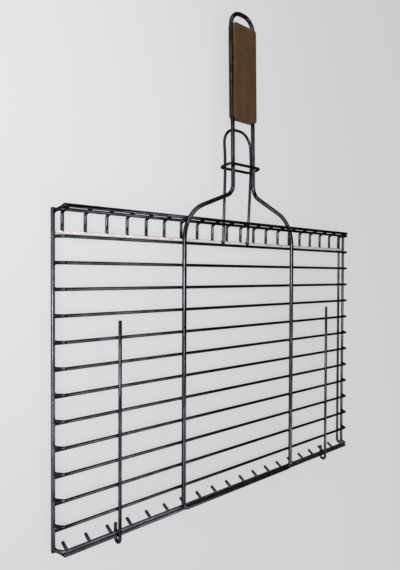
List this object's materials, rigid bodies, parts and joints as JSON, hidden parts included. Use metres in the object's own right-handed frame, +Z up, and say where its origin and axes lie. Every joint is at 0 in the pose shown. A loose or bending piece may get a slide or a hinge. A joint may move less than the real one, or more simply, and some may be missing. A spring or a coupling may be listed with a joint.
{
  "type": "grill basket",
  "caption": "Flat rectangular wire grill basket of two hinged leaves with a long rod handle, wooden grip, hang loop and sliding clasp ring.",
  "frame": {"origin": "under the middle of the closed basket, at the level of the underside of the rear leaf's side rods", "axes": "+X across the leaves, +Y from the hinge towards the handle, +Z up from the rear leaf to the front leaf; the basket lies flat"},
  "size_m": [0.4642, 0.5419, 0.0238],
  "materials": {
    "dark_wire": "dark plated steel wire, satin",
    "handle_wire": "dark plated steel rod, satin",
    "ring_wire": "dark plated steel wire, satin",
    "pale_wire": "pale bare steel wire",
    "wood_grip": "dark brown oiled wood"
  },
  "bodies": {
    "rear_leaf": {"rear_top_lip": "dark_wire", "rear_bottom_lip": "dark_wire", "rear_side_rod_left": "dark_wire", "rear_side_rod_right": "dark_wire", "rear_cross_bar": "pale_wire", "rear_wire_01": "dark_wire", "rear_wire_02": "dark_wire", "rear_wire_03": "dark_wire", "rear_wire_04": "dark_wire", "rear_wire_05": "dark_wire", "rear_wire_06": "dark_wire", "rear_wire_07": "dark_wire", "rear_wire_08": "dark_wire", "rear_wire_09": "dark_wire", "rear_wire_10": "dark_wire", "rear_wire_11": "dark_wire", "rear_handle": "dark_wire"},
    "front_leaf": {"front_top_bar": "dark_wire", "front_bottom_bar": "dark_wire", "front_wire_01": "dark_wire", "front_wire_02": "dark_wire", "front_wire_03": "dark_wire", "front_wire_04": "dark_wire", "front_wire_05": "dark_wire", "front_wire_06": "dark_wire", "front_wire_07": "dark_wire", "front_wire_08": "dark_wire", "front_wire_09": "dark_wire", "front_wire_10": "dark_wire", "front_wire_11": "dark_wire", "front_wire_12": "dark_wire", "front_side_rod_left": "dark_wire", "front_side_rod_right": "dark_wire", "hinge_rod_left": "dark_wire", "hinge_rod_right": "dark_wire", "handle_rod": "handle_wire", "grip": "wood_grip"},
    "clasp_ring": {"clasp_ring": "ring_wire"}
  },
  "joints": [
    {"name": "leaf_hinge", "type": "hinge", "parent": "rear_leaf", "child": "front_leaf", "pos_m": [0, -0.26312, 0.01569], "axis": [1, 0, 0], "range_deg": [0, 180]},
    {"name": "clasp_slide", "type": "slide", "parent": "front_leaf", "child": "clasp_ring", "axis": [0, 0.9998, -0.0175], "range_m": [-0.015, 0.048]}
  ]
}
